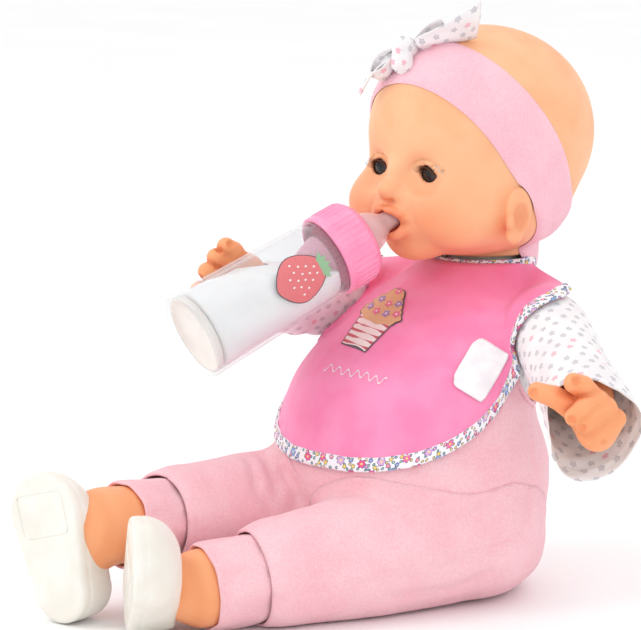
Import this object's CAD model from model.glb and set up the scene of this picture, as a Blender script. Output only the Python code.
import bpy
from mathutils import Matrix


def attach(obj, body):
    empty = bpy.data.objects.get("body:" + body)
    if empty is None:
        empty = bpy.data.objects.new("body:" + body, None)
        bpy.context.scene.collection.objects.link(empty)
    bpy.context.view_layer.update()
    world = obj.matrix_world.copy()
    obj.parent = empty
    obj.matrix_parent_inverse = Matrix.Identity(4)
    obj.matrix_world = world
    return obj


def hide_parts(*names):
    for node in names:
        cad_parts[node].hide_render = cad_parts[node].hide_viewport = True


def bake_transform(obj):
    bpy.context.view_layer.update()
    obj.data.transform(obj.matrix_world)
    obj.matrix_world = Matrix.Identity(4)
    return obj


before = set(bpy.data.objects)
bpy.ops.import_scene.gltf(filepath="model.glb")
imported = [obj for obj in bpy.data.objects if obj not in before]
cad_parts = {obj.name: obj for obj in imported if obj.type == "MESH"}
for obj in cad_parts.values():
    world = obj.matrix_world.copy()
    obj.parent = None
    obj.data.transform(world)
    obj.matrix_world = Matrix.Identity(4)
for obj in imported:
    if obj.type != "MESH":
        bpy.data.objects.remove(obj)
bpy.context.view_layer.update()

import math
import bpy
import numpy as np
from mathutils import Vector

# Interactive baby doll, sitting and drinking from a bottle. Shapes are worked out in millimetres in the
# CAD frame (the doll faces -Y, its left is +X) and turned into metres when a piece is made.
MM = 0.001
SIDES = ("left", "right")

# ---- camera ---------------------------------------------------------------------------------------------
CAMERA_TARGET, CAMERA_DISTANCE = (-0.05177, -0.01801, 0.13049), 2.0
azimuth, elevation = math.radians(44), math.radians(10)
view_back = Vector((math.sin(azimuth) * math.cos(elevation),
                    -math.cos(azimuth) * math.cos(elevation), math.sin(elevation)))
camera = bpy.data.objects.new("camera", bpy.data.cameras.new("camera"))
bpy.context.scene.collection.objects.link(camera)
camera.data.sensor_width = 36
camera.data.lens = 224.6
camera.location = Vector(CAMERA_TARGET) + view_back * CAMERA_DISTANCE
camera.rotation_euler = (-view_back).to_track_quat("-Z", "Y").to_euler()
bpy.context.scene.camera = camera

# ---- numbers shared with the CAD source ------------------------------------------------------------------
NECK_Y, HEAD_TURN = 48.0, -5.0
TORSO = [(0, 6, 48, 38), (12, 2, 61, 50), (40, -4, 69, 61), (64, -6, 70, 65), (90, -7, 64, 58),
         (110, -1, 58, 53), (130, 15, 48, 43), (145, 30, 38, 33), (154, 42, 27, 26)]
HIP = {"left": (44, -8, 31.6), "right": (-44, -8, 31.6)}
LEG_YAW = {"left": -19.3, "right": -5.2}
LEG_RISE = {"left": -4.0, "right": 5.0}
CUFF = {"left": (119, 148), "right": (118, 144)}
HEEL_AT = {"left": (-30.0, -173.6, 16.5), "right": (-63.2, -186.5, 16.5)}
SHOE_FACES = {"left": -38, "right": 6}
SHOE_LEAN = {"left": 48, "right": -15}
SHOULDER = {"left": (58, 29, 130), "right": (-60, 30, 130)}
ARM_TOWARDS = {"left": (76, -49, -30), "right": (-8, -108, 20)}
MOUTH = np.array((-5.3, -17.8, 183.4))
BOTTLE_AXIS = np.array((-0.283, -0.864, -0.413))
EYE = (17.6, 0.6, 206.7)
EYE_BALL, EYE_CUP = 9.0, 10.3
LID_TOP, LID_LOW = 6.3, 6.7          # radii of the two arcs that bound the eye opening
FLEECE_THICK, COTTON_THICK, SATIN_THICK = 1.1, 0.7, 0.6
HATCH = (31.5, 90, 23.6)             # half width, middle height and half height of the hatch opening


def unit(v):
    v = np.array(v, float)
    return v / np.linalg.norm(v)


def rows_unit(v):
    return v / np.maximum(np.linalg.norm(v, axis=1), 1e-9)[:, None]


def round_angles(count):
    return np.arange(count) * 2 * math.pi / count


def lengths(line):
    """Distance along a line of points, from its first point."""
    return np.r_[0, np.cumsum(np.linalg.norm(np.diff(line, axis=0), axis=1))]


def uv_of(u, v):
    return np.stack(np.broadcast_arrays(u, v), -1).reshape(-1, 2)


# ---- distance fields -------------------------------------------------------------------------------------
def smin(a, b, k):
    h = np.clip(0.5 + 0.5 * (b - a) / k, 0, 1)
    return b + (a - b) * h - k * h * (1 - h)


def smax(a, b, k):
    return -smin(-a, -b, k)


def step(low, high, x):
    t = np.clip((x - low) / (high - low), 0, 1)
    return t * t * (3 - 2 * t)


def egg(p, centre, radii):
    q = p - np.array(centre, float)
    r = np.array(radii, float)
    k0 = np.linalg.norm(q / r, axis=1)
    k1 = np.linalg.norm(q / (r * r), axis=1)
    return k0 * (k0 - 1) / np.maximum(k1, 1e-6)


def limb(p, a, b, ra, rb):
    """Round rod from a to b whose radius runs from ra to rb."""
    a, b = np.array(a, float), np.array(b, float)
    t = np.clip((p - a) @ (b - a) / ((b - a) @ (b - a)), 0, 1)
    return np.linalg.norm(p - a - t[:, None] * (b - a), axis=1) - (ra + (rb - ra) * t)


def turned(p):
    """Points of the straight head, turned about the neck as in the photograph."""
    c, s = math.cos(math.radians(HEAD_TURN)), math.sin(math.radians(HEAD_TURN))
    q = p.copy()
    q[:, 0] = p[:, 0] * c - (p[:, 1] - NECK_Y) * s
    q[:, 1] = NECK_Y + p[:, 0] * s + (p[:, 1] - NECK_Y) * c
    return q


def along_axis(p, origin, axis):
    """Distance along an axis, and away from it."""
    q = p - np.array(origin, float)
    t = q @ axis
    return t, np.linalg.norm(q - t[:, None] * axis, axis=1)


def table(rows, spacing=1.0):
    """Smooth curve through rows of (position, values...), sampled for np.interp."""
    rows = np.array(rows, float)
    x, y = rows[:, 0], rows[:, 1:]
    slope = np.gradient(y, x, axis=0)
    at = np.arange(x[0], x[-1] + spacing, spacing)
    k = np.clip(np.searchsorted(x, at) - 1, 0, len(x) - 2)
    h = (x[k + 1] - x[k])[:, None]
    t = ((at - x[k])[:, None]) / h
    curve = ((2 * t**3 - 3 * t**2 + 1) * y[k] + (t**3 - 2 * t**2 + t) * h * slope[k]
             + (3 * t**2 - 2 * t**3) * y[k + 1] + (t**3 - t**2) * h * slope[k + 1])
    return at, curve


def read(made, x):
    at, curve = made
    return [np.interp(x, at, curve[:, k]) for k in range(curve.shape[1])]


def waves(p, length, seed, stretch=(1, 1, 1)):
    """Gentle random undulation between about -1 and 1."""
    random = np.random.RandomState(seed)
    total, count = 0, 7
    for _ in range(count):
        way = unit(random.normal(size=3)) / np.array(stretch, float)
        total = total + np.sin(p @ way * (2 * math.pi / length) * random.uniform(0.7, 1.5)
                               + random.uniform(0, 6.3))
    return total / count * 1.8


TORSO_TABLE = table(TORSO)


def torso_field(p, grow=0.0):
    centre, half_width, half_depth = read(TORSO_TABLE, p[:, 2])
    a, b = half_width + grow, half_depth + grow
    g = np.sqrt((p[:, 0] / a) ** 2 + ((p[:, 1] - centre) / b) ** 2)
    d = (g - 1) * np.minimum(a, b) * 0.92
    return smax(smax(d, 0.4 - grow - p[:, 2], 6), p[:, 2] - 157 - grow, 2)


def leg_axis(side):
    yaw, rise = math.radians(LEG_YAW[side]), math.radians(LEG_RISE[side])
    return np.array((math.sin(yaw) * math.cos(rise), -math.cos(yaw) * math.cos(rise), math.sin(rise)))


LEG_TABLE = table([(-40, 29), (0, 30.5), (35, 31.5), (75, 30), (100, 27.6), (116, 26), (121, 24.4), (126, 20),
                   (140, 20)])


def leg_field(p, side):
    t, away = along_axis(p, HIP[side], leg_axis(side))
    shorter = 119 - CUFF[side][0]
    radius = read(LEG_TABLE, t + shorter)[0]
    tube = smax(smax(away - radius, -t - 6, 10), t - 130, 2)
    return smin(tube, egg(p, HIP[side], (31.0,) * 3), 4)


# ---- from a field to a mesh ------------------------------------------------------------------------------
def gradient(field, p):
    eps = 0.25
    out = np.empty_like(p)
    for k in range(3):
        shift = np.zeros(3)
        shift[k] = eps
        out[:, k] = (field(p + shift) - field(p - shift)) / (2 * eps)
    return out


def settle(field, p, turns=3, level=0.0):
    """Move points onto the surface of a field."""
    for _ in range(turns):
        g = gradient(field, p)
        d = np.clip(field(p) - level, -3, 3)
        p = p - g * (d / np.maximum((g * g).sum(1), 0.1))[:, None]
    return p


def net(field, low, high, spacing):
    """Even quads on the surface of a field, by the surface-net method."""
    low, high = np.array(low, float), np.array(high, float)
    count = np.ceil((high - low) / spacing).astype(int) + 1
    axes = [low[k] + spacing * np.arange(count[k]) for k in range(3)]
    points = np.stack(np.meshgrid(*axes, indexing="ij"), -1)
    value = field(points.reshape(-1, 3)).reshape(count)
    total, place = np.zeros(count - 1), np.zeros((*(count - 1), 3))
    crossings = []
    for axis in range(3):
        one, two = [k for k in range(3) if k != axis]
        a, b = [slice(None)] * 3, [slice(None)] * 3
        a[axis], b[axis] = slice(0, -1), slice(1, None)
        va, vb = value[tuple(a)], value[tuple(b)]
        cross = (va < 0) != (vb < 0)
        at = points[tuple(a)].copy()
        at[..., axis] += np.where(cross, va / np.where(cross, va - vb, 1), 0) * spacing
        crossings.append((axis, one, two, cross, va < 0))
        for d1 in (0, 1):
            for d2 in (0, 1):
                part = [slice(None)] * 3
                part[one] = slice(d1, d1 + count[one] - 1)
                part[two] = slice(d2, d2 + count[two] - 1)
                part = tuple(part)
                total += cross[part]
                place += np.where(cross[part][..., None], at[part], 0)
    used = total > 0
    index = np.full(used.shape, -1)
    index[used] = np.arange(used.sum())
    vertices = place[used] / total[used][:, None]
    faces = []
    for axis, one, two, cross, inside in crossings:
        e = np.argwhere(cross)
        e = e[(e[:, one] > 0) & (e[:, one] < count[one] - 1) & (e[:, two] > 0) & (e[:, two] < count[two] - 1)]
        corners = []
        for d1, d2 in ((1, 1), (0, 1), (0, 0), (1, 0)):
            c = e.copy()
            c[:, one] -= d1
            c[:, two] -= d2
            corners.append(index[tuple(c.T)])
        quad = np.stack(corners, 1)
        flip = inside[tuple(e.T)] == (axis == 1)
        quad[flip] = quad[flip][:, ::-1]
        faces.append(quad)
    return settle(field, vertices), np.concatenate(faces)


def trim(field, points, faces, cutter):
    """Keep the part where cutter is positive, with its border drawn onto the cut."""
    kept = cutter(points)[faces].mean(1) > 0
    border = np.intersect1d(np.unique(faces[kept]), np.unique(faces[~kept]))
    edge = points[border]
    for _ in range(4):
        edge = settle(cutter, edge, 1)
        edge = settle(field, edge, 1)
    points = points.copy()
    points[border] = settle(cutter, edge, 1)
    return compact(points, faces[kept])


def compact(points, faces):
    used = np.unique(faces)
    renumber = np.full(len(points), -1)
    renumber[used] = np.arange(len(used))
    return points[used], renumber[faces]


# ---- making pieces ---------------------------------------------------------------------------------------
def piece(name, points, faces, material, body=None, uv=None, paint=None, slot=None, replaces=()):
    mesh = bpy.data.meshes.new(name)
    mesh.from_pydata((np.asarray(points) * MM).tolist(), [], [list(map(int, f)) for f in faces])
    mesh.validate()
    mesh.shade_smooth()
    mesh.materials.append(material)
    if uv is not None:
        layer = mesh.uv_layers.new(name="UVMap")
        corner = np.empty(len(mesh.loops), int)
        mesh.loops.foreach_get("vertex_index", corner)
        layer.data.foreach_set("uv", np.asarray(uv, np.float32)[corner].ravel())
    if paint is not None:
        colour = mesh.attributes.new("paint", "FLOAT_COLOR", "POINT")
        rgba = np.ones((len(points), 4), np.float32)
        rgba[:, :paint.shape[1]] = paint
        colour.data.foreach_set("color", rgba.ravel())
    made = bpy.data.objects.new(name, mesh)
    bpy.context.scene.collection.objects.link(made)
    if body:
        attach(made, body)
    if replaces:
        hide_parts(*replaces)
    return made


def sheet_faces(rows, columns, closed=False, flip=False):
    i, j = np.meshgrid(np.arange(rows - 1), np.arange(columns if closed else columns - 1), indexing="ij")
    after = (j + 1) % columns
    quads = np.stack([i * columns + j, i * columns + after, (i + 1) * columns + after, (i + 1) * columns + j],
                     -1).reshape(-1, 4)
    return quads[:, ::-1] if flip else quads


def thicken(made, thickness, offset=-1.0):
    solid = made.modifiers.new("thickness", "SOLIDIFY")
    solid.thickness = thickness * MM
    solid.offset = offset


def basis(axis, up=(0, 0, 1)):
    axis = unit(axis)
    side = unit(np.cross(up, axis))
    return side, np.cross(axis, side), axis


def revolve(profile, origin, axis, segments=96, bulge=None):
    """Points and faces of a turned shape. bulge(t, angle) adds to the radius."""
    side, up, axis = basis(axis)
    profile = np.array(profile, float)
    angle = round_angles(segments)
    r = np.repeat(profile[:, :1], segments, 1)
    t = np.repeat(profile[:, 1:], segments, 1)
    if bulge:
        r = r + bulge(t, angle[None, :])
    points = (np.array(origin, float) + t[..., None] * axis
              + (r * np.cos(angle))[..., None] * side + (r * np.sin(angle))[..., None] * up)
    return points.reshape(-1, 3), sheet_faces(len(profile), segments, True)


# ---- materials -------------------------------------------------------------------------------------------
def srgb(r, g, b):
    return tuple(((c / 255 + 0.055) / 1.055) ** 2.4 if c > 10 else c / 3300 for c in (r, g, b)) + (1.0,)


class Look:
    """Short way to wire one procedural material; lengths in it are millimetres."""

    def __init__(self, name, **shader):
        self.material = bpy.data.materials.new(name)
        self.material.use_nodes = True
        self.tree = self.material.node_tree
        self.tree.nodes.clear()
        self.shader = self.tree.nodes.new("ShaderNodeBsdfPrincipled")
        end = self.tree.nodes.new("ShaderNodeOutputMaterial")
        self.tree.links.new(self.shader.outputs[0], end.inputs[0])
        for socket, value in shader.items():
            self.shader.inputs[socket.replace("_", " ")].default_value = value
        where = self.tree.nodes.new("ShaderNodeTexCoord")
        scale = self.node("ShaderNodeVectorMath", operation="SCALE")
        scale.inputs["Scale"].default_value = 1000
        self.tree.links.new(where.outputs["Object"], scale.inputs[0])
        self.place = scale.outputs[0]
        uv = self.tree.nodes.new("ShaderNodeUVMap")
        uv.uv_map = "UVMap"
        self.uv = uv.outputs[0]

    def node(self, kind, **settings):
        made = self.tree.nodes.new(kind)
        for key, value in settings.items():
            setattr(made, key, value)
        return made

    def put(self, socket, value):
        if isinstance(value, bpy.types.NodeSocket):
            self.tree.links.new(value, socket)
        elif value is not None:
            socket.default_value = value

    def math(self, operation, *values, clamp=False):
        made = self.node("ShaderNodeMath", operation=operation, use_clamp=clamp)
        for socket, value in zip(made.inputs, values):
            self.put(socket, value)
        return made.outputs[0]

    def add(self, a, b):
        return self.math("ADD", a, b)

    def sub(self, a, b):
        return self.math("SUBTRACT", a, b)

    def mul(self, a, b):
        return self.math("MULTIPLY", a, b)

    def noise(self, scale, detail=2.0, where=None, squash=None, roughness=0.5):
        made = self.node("ShaderNodeTexNoise")
        where = where or self.place
        if squash:
            stretch = self.node("ShaderNodeVectorMath", operation="MULTIPLY")
            self.put(stretch.inputs[0], where)
            stretch.inputs[1].default_value = squash
            where = stretch.outputs[0]
        self.put(made.inputs["Vector"], where)
        made.inputs["Scale"].default_value = scale
        made.inputs["Detail"].default_value = detail
        made.inputs["Roughness"].default_value = roughness
        return made.outputs[0]

    def ramp(self, value, low, high, out_low=0.0, out_high=1.0):
        made = self.node("ShaderNodeMapRange", interpolation_type="SMOOTHSTEP")
        for socket, given in zip(made.inputs, (value, low, high, out_low, out_high)):
            self.put(socket, given)
        return made.outputs[0]

    def mix(self, factor, a, b):
        made = self.node("ShaderNodeMix", data_type="RGBA")
        self.put(made.inputs[0], factor)
        self.put(made.inputs[6], a)
        self.put(made.inputs[7], b)
        return made.outputs[2]

    def split(self, vector):
        made = self.node("ShaderNodeSeparateXYZ")
        self.put(made.inputs[0], vector)
        return made.outputs[0], made.outputs[1], made.outputs[2]

    def join(self, x, y):
        made = self.node("ShaderNodeCombineXYZ")
        for socket, value in zip(made.inputs, (x, y)):
            self.put(socket, value)
        return made.outputs[0]

    def paint(self):
        made = self.node("ShaderNodeAttribute", attribute_name="paint")
        return self.split(made.outputs["Color"])

    def bump(self, height, distance):
        made = self.node("ShaderNodeBump")
        made.inputs["Strength"].default_value = 1.0
        made.inputs["Distance"].default_value = distance * MM
        self.put(made.inputs["Height"], height)
        self.put(self.shader.inputs["Normal"], made.outputs[0])

    def colour(self, value):
        self.put(self.shader.inputs["Base Color"], value)
        return self.material

    def rough(self, value):
        self.put(self.shader.inputs["Roughness"], value)


def vinyl(name, base, deep, blush):
    look = Look(name, Subsurface_Weight=0.12, Subsurface_Radius=(1.0, 0.45, 0.25), Subsurface_Scale=0.0025,
                Specular_IOR_Level=0.35)
    lips, warm, shade = look.paint()
    tone = look.mix(look.ramp(look.noise(0.035, 3), 0.35, 0.7), base, deep)
    tone = look.mix(look.mul(warm, 0.7), tone, blush)
    tone = look.mix(look.mul(lips, 0.9), tone, srgb(236, 98, 62))
    tone = look.mix(shade, tone, srgb(196, 92, 48))
    look.rough(look.ramp(look.noise(0.4, 3), 0.3, 0.7, 0.41, 0.53))
    look.bump(look.noise(2.2, 3), 0.03)
    return look.colour(tone)


def fleece(name, light, deep):
    look = Look(name, Roughness=0.92, Specular_IOR_Level=0.15, Sheen_Weight=0.45, Sheen_Roughness=0.45,
                Sheen_Tint=(1.0, 0.86, 0.89, 1.0))
    patches = look.ramp(look.noise(0.05, 2), 0.3, 0.72)
    fibres = look.ramp(look.noise(0.85, 5, roughness=0.68), 0.33, 0.68)
    tone = look.mix(look.add(look.mul(patches, 0.35), look.mul(fibres, 0.5)),
                    light, deep)
    tone = look.mix(look.ramp(look.noise(2.4, 3, squash=(1, 1, 0.45)), 0.62, 0.8, 0, 0.35), tone,
                    srgb(255, 232, 236))
    look.bump(look.add(look.noise(1.3, 5, roughness=0.7), look.mul(look.noise(0.3, 3), 1.3)),
              0.42)
    return look.colour(tone)


def cell(look, size, jitter=0.0):
    """Position inside a staggered grid cell of the UV, and two random numbers for that cell."""
    u, v, _ = look.split(look.uv)
    row = look.math("FLOOR", look.math("DIVIDE", v, size[1]))
    odd = look.mul(look.math("PINGPONG", row, 1.0), 0.5)
    column = look.add(look.math("DIVIDE", u, size[0]), odd)
    noise = look.node("ShaderNodeTexWhiteNoise", noise_dimensions="2D")
    look.put(noise.inputs["Vector"], look.join(look.math("FLOOR", column), row))
    r1, r2, r3 = look.split(noise.outputs["Color"])
    x = look.sub(look.math("FRACT", column), 0.5)
    y = look.sub(look.math("FRACT", look.math("DIVIDE", v, size[1])), 0.5)
    x = look.mul(look.add(x, look.mul(look.sub(r1, 0.5), jitter)),
                  size[0])
    y = look.mul(look.add(y, look.mul(look.sub(r2, 0.5), jitter)),
                  size[1])
    return x, y, r1, r2, r3


def radius_of(look, x, y):
    return look.math("SQRT", look.add(look.mul(x, x), look.mul(y, y)))


def polar(look, x, y, turn_by):
    return radius_of(look, x, y), look.add(look.math("ARCTAN2", y, x), look.mul(turn_by, 6.28))


def star_cotton():
    look = Look("star_cotton", Roughness=0.85, Specular_IOR_Level=0.2, Sheen_Weight=0.2)
    x, y, _, r2, r3 = cell(look, (7.6, 5.6), 0.25)
    reach, angle = polar(look, x, y, r3)
    fold = look.math("ABSOLUTE", look.sub(look.math("FRACT", look.math("DIVIDE", angle, 1.2566)), 0.5))
    fold = look.mul(fold, 1.2566)
    edge = look.add(look.mul(look.math("COSINE", fold), 0.588),
                     look.mul(look.math("SINE", fold), 0.809))
    edge = look.mul(reach, edge)
    star = look.ramp(edge, 1.08, 1.24, 1, 0)
    worn = look.ramp(look.noise(1.6, 3), 0.3, 0.6, 0.45, 0.9)
    pink = look.math("GREATER_THAN", r2, 0.88)
    tint = look.mix(pink, srgb(196, 194, 200), srgb(240, 172, 188))
    tone = look.mix(look.ramp(look.noise(0.06, 2), 0.3, 0.7), srgb(248, 246, 246), srgb(240, 236, 238))
    tone = look.mix(look.mul(star, worn), tone, tint)
    u, v, _ = look.split(look.uv)
    weave = look.mul(look.math("SINE", look.mul(u, 18.0)),
                      look.math("SINE", look.mul(v, 18.0)))
    look.bump(look.add(look.mul(weave, 0.15), look.noise(0.9, 4)), 0.12)
    return look.colour(tone)


def floral():
    look = Look("floral_cotton", Roughness=0.8, Specular_IOR_Level=0.2, Sheen_Weight=0.15)
    tone = look.mix(look.noise(0.2), srgb(250, 248, 250), srgb(238, 238, 244))

    def flowers(tone, size, radius, petals, jitter, limit, colours):
        x, y, r1, r2, r3 = cell(look, size, jitter)
        reach, angle = polar(look, x, y, r1)
        petal = look.math("ABSOLUTE", look.math("COSINE", look.mul(angle, petals / 2)))
        bound = look.mul(look.add(look.mul(petal, 0.38), 0.62), radius)
        inside = look.sub(bound, reach)
        hue = look.node("ShaderNodeValToRGB")
        hue.color_ramp.interpolation = "CONSTANT"
        for k, colour in enumerate(colours):
            stop = hue.color_ramp.elements[k] if k < 2 else hue.color_ramp.elements.new(k / len(colours))
            stop.position = k / len(colours)
            stop.color = colour
        look.put(hue.inputs[0], r3)
        shown = look.math("LESS_THAN", r2, limit)
        tone = look.mix(look.mul(look.ramp(inside, -0.28, -0.16), shown), tone, srgb(74, 70, 120))
        tone = look.mix(look.mul(look.ramp(inside, 0.0, 0.08), shown), tone, hue.outputs[0])
        core = look.ramp(reach, radius * 0.2, radius * 0.32, 1, 0)
        return look.mix(look.mul(core, shown), tone, srgb(252, 226, 120))

    tone = flowers(tone, (3.1, 2.6), 0.62, 2, 0.5, 0.8,
                   [srgb(96, 178, 170), srgb(120, 190, 180), srgb(236, 206, 96), srgb(90, 160, 170)])
    tone = flowers(tone, (5.3, 3.4), 1.05, 5, 0.4, 0.62,
                   [srgb(190, 150, 210), srgb(238, 130, 170), srgb(120, 150, 214), srgb(236, 208, 110)])
    tone = flowers(tone, (11.0, 6.0), 2.1, 6, 0.3, 0.9,
                   [srgb(236, 92, 150), srgb(140, 176, 226), srgb(222, 176, 222), srgb(240, 120, 168)])
    look.bump(look.noise(1.5, 4), 0.1)
    return look.colour(tone)


def satin():
    look = Look("bib_satin", Roughness=0.42, Specular_IOR_Level=0.35, Sheen_Weight=0.25, Sheen_Roughness=0.35,
                Sheen_Tint=(1.0, 0.75, 0.86, 1.0))
    u, v, _ = look.split(look.uv)
    weave = look.math("SINE", look.add(look.mul(u, 14.0), look.mul(v, 9.0)))
    tone = look.mix(look.ramp(look.noise(0.045, 3), 0.3, 0.7), srgb(255, 150, 194), srgb(252, 132, 180))
    tone = look.mix(look.mul(look.ramp(weave, 0.2, 1), 0.10), tone, srgb(255, 190, 216))
    look.rough(look.ramp(look.noise(0.6, 3), 0.3, 0.7, 0.38, 0.5))
    look.bump(look.add(look.mul(weave, 0.2), look.noise(0.7, 4)), 0.07)
    return look.colour(tone)


def plain(name, light, deep, roughness=0.5, scale=0.5, bump=0.05, grain=2.0, **shader):
    """Cloth, paper or moulded plastic with small changes of tone, gloss and height."""
    look = Look(name, **shader)
    look.rough(look.ramp(look.noise(scale * 2, 3), 0.3, 0.7, roughness - 0.05, roughness + 0.06))
    look.bump(look.noise(grain, 4), bump)
    return look.colour(look.mix(look.ramp(look.noise(scale, 3), 0.3, 0.7), light, deep))


def clear(name, tint, gloss, cover):
    """Thin clear plastic: light goes straight through, with a coat of reflection and more body at the edges."""
    look = Look(name, Specular_IOR_Level=0.6)
    look.rough(look.ramp(look.noise(0.25, 3), 0.35, 0.7, gloss, gloss + 0.05))
    look.bump(look.noise(0.12, 2), 0.02)
    look.colour(look.mix(look.noise(0.08), tint, tuple(c * 0.97 for c in tint[:3]) + (1.0,)))
    through = look.node("ShaderNodeBsdfTransparent")
    through.inputs[0].default_value = tuple(0.55 + 0.45 * c for c in tint[:3]) + (1.0,)
    edge = look.node("ShaderNodeLayerWeight")
    edge.inputs[0].default_value = 0.35
    blend = look.node("ShaderNodeMixShader")
    look.put(blend.inputs[0], look.ramp(edge.outputs["Facing"], 0.35, 1.0, cover, min(cover + 0.5, 0.95)))
    look.put(blend.inputs[1], through.outputs[0])
    look.put(blend.inputs[2], look.shader.outputs[0])
    output = next(n for n in look.tree.nodes if n.type == "OUTPUT_MATERIAL")
    look.put(output.inputs[0], blend.outputs[0])
    return look.material


def eye_glass():
    """Dark sleeping-eye ball: pupil and brown iris rings about its own forward pole, painted as distance."""
    look = Look("eye_acrylic", Specular_IOR_Level=0.22, Coat_Weight=0.25, Coat_Roughness=0.02)
    x, y, _ = look.split(look.uv)
    reach = radius_of(look, x, y)
    rays = look.noise(0.9, 4, where=look.join(look.mul(look.math("ARCTAN2", y, x), 6.0), reach))
    iris = look.mix(look.ramp(rays, 0.3, 0.7), srgb(30, 24, 24), srgb(66, 56, 56))
    tone = look.mix(look.ramp(reach, 1.9, 2.4), srgb(8, 7, 8), iris)
    tone = look.mix(look.ramp(reach, 5.6, 6.6), tone, srgb(14, 10, 10))
    tone = look.mix(look.ramp(y, 5.3, 5.6), tone, srgb(246, 172, 124))     # the lid, seen when the eye is closed
    look.rough(look.ramp(rays, 0.3, 0.7, 0.06, 0.12))
    return look.colour(tone)


SKIN = vinyl("skin_vinyl", srgb(250, 190, 146), srgb(246, 178, 132), srgb(240, 138, 92))
LIMB_SKIN = vinyl("limb_vinyl", srgb(250, 178, 128), srgb(246, 166, 114), srgb(236, 128, 78))
FLEECE = fleece("romper_fleece", srgb(255, 212, 219), srgb(250, 182, 194))
BAND_FLEECE = fleece("headband_fleece", srgb(255, 208, 219), srgb(252, 184, 200))
STARS = star_cotton()
FLORAL = floral()
SATIN = satin()
TAPE = plain("label_tape", srgb(252, 250, 251), srgb(242, 238, 242), 0.7, 0.15, 0.08, 3.0, Sheen_Weight=0.1)
LOOPS = plain("hook_and_loop", srgb(246, 244, 244), srgb(226, 224, 226), 0.95, 1.5, 0.5, 2.6, Sheen_Weight=0.4)
WEAVE = plain("body_cloth", srgb(246, 214, 190), srgb(232, 196, 170), 0.9, 0.6, 0.2, 1.6, Sheen_Weight=0.2)
NYLON = plain("nylon_tie", srgb(236, 235, 230), srgb(220, 219, 212), 0.45, 0.8)
SHOE = plain("shoe_vinyl", srgb(243, 240, 233), srgb(234, 229, 219), 0.36, 0.05, 0.03, 1.4,
             Subsurface_Weight=0.05, Subsurface_Scale=0.002, Specular_IOR_Level=0.45)
CLEAR = clear("bottle_clear", (0.93, 0.94, 0.95, 1.0), 0.03, 0.10)
MILK = plain("bottle_milk", srgb(250, 249, 248), srgb(243, 241, 241), 0.35, 0.08, 0.02, 0.5,
             Subsurface_Weight=0.2, Subsurface_Scale=0.002)
CAP = plain("cap_pink", srgb(255, 158, 194), srgb(252, 146, 186), 0.24, 0.12, 0.015, 0.8,
            Subsurface_Weight=0.08, Subsurface_Scale=0.001, Specular_IOR_Level=0.55)
BASE = plain("bottle_base", srgb(240, 234, 228), srgb(230, 223, 216), 0.2, 0.06, 0.02, 0.5,
             Subsurface_Weight=0.1, Subsurface_Scale=0.002)
FUNNEL = clear("funnel_pink", srgb(250, 190, 210), 0.12, 0.6)
NIPPLE = clear("nipple_silicone", srgb(252, 222, 222), 0.22, 0.5)
MODULE = plain("module_plastic", srgb(226, 224, 222), srgb(214, 212, 210), 0.55, 0.3, 0.08, 3.0)
SWITCH = plain("switch_plastic", srgb(226, 92, 124), srgb(214, 82, 114), 0.5, 0.4)
BOARD = plain("circuit_laminate", srgb(34, 110, 70), srgb(26, 92, 58), 0.4, 0.6)
PAPER = plain("speaker_paper", srgb(40, 40, 42), srgb(26, 26, 28), 0.85, 0.8, 0.15)
CELL = plain("cell_wrap", srgb(70, 96, 136), srgb(58, 82, 120), 0.3, 0.5)
METAL = plain("contact_metal", srgb(206, 206, 204), srgb(186, 186, 184), 0.3, 1.0, Metallic=1.0)
LASH = plain("lash_fibre", srgb(112, 70, 42), srgb(88, 52, 32), 0.6, 1.5)
STITCH = plain("stitch_thread", srgb(250, 244, 247), srgb(238, 226, 232), 0.7, 1.2, 0.1)
EYE_GLASS = eye_glass()


# ---- head ------------------------------------------------------------------------------------------------
def mirrored(p):
    q = p.copy()
    q[:, 0] = np.abs(q[:, 0])
    return q


def lens(q):
    """Outline of the eye opening, seen from the front; q is mirrored to the left eye."""
    x, z = q[:, 0] - EYE[0], q[:, 2] - EYE[2]
    tilt = z + 0.10 * x
    top = np.hypot(x, tilt - (4.4 - LID_TOP)) - LID_TOP
    low = np.hypot(x, tilt - (-3.7 + LID_LOW)) - LID_LOW
    return smax(top, low, 0.5)


def skull(p):
    q = mirrored(p)
    d = egg(q, (0, 44.3, 222), (53, 58.8, 53))
    d = smin(d, egg(q, (0, 31, 189), (50, 49, 27)), 14)
    d = smin(d, egg(q, (25.5, 4.5, 187.5), (20.5, 18.5, 17)), 7)
    return smin(d, egg(q, (0, 0.5, 172), (16, 13, 10.5)), 6)


NOSTRIL = (3.2, -20.2, 193.1)
LIPS = [((3.2, -20.0, 188.6), (4.6, 2.8, 2.2)), ((7.0, -17.6, 187.0), (4.2, 2.7, 1.9)),
        ((10.4, -14.6, 184.9), (3.6, 2.6, 1.6)), ((3.6, -18.4, 176.6), (6.2, 3.4, 2.9)),
        ((8.2, -16.4, 178.6), (4.4, 3.0, 2.5))]


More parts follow.
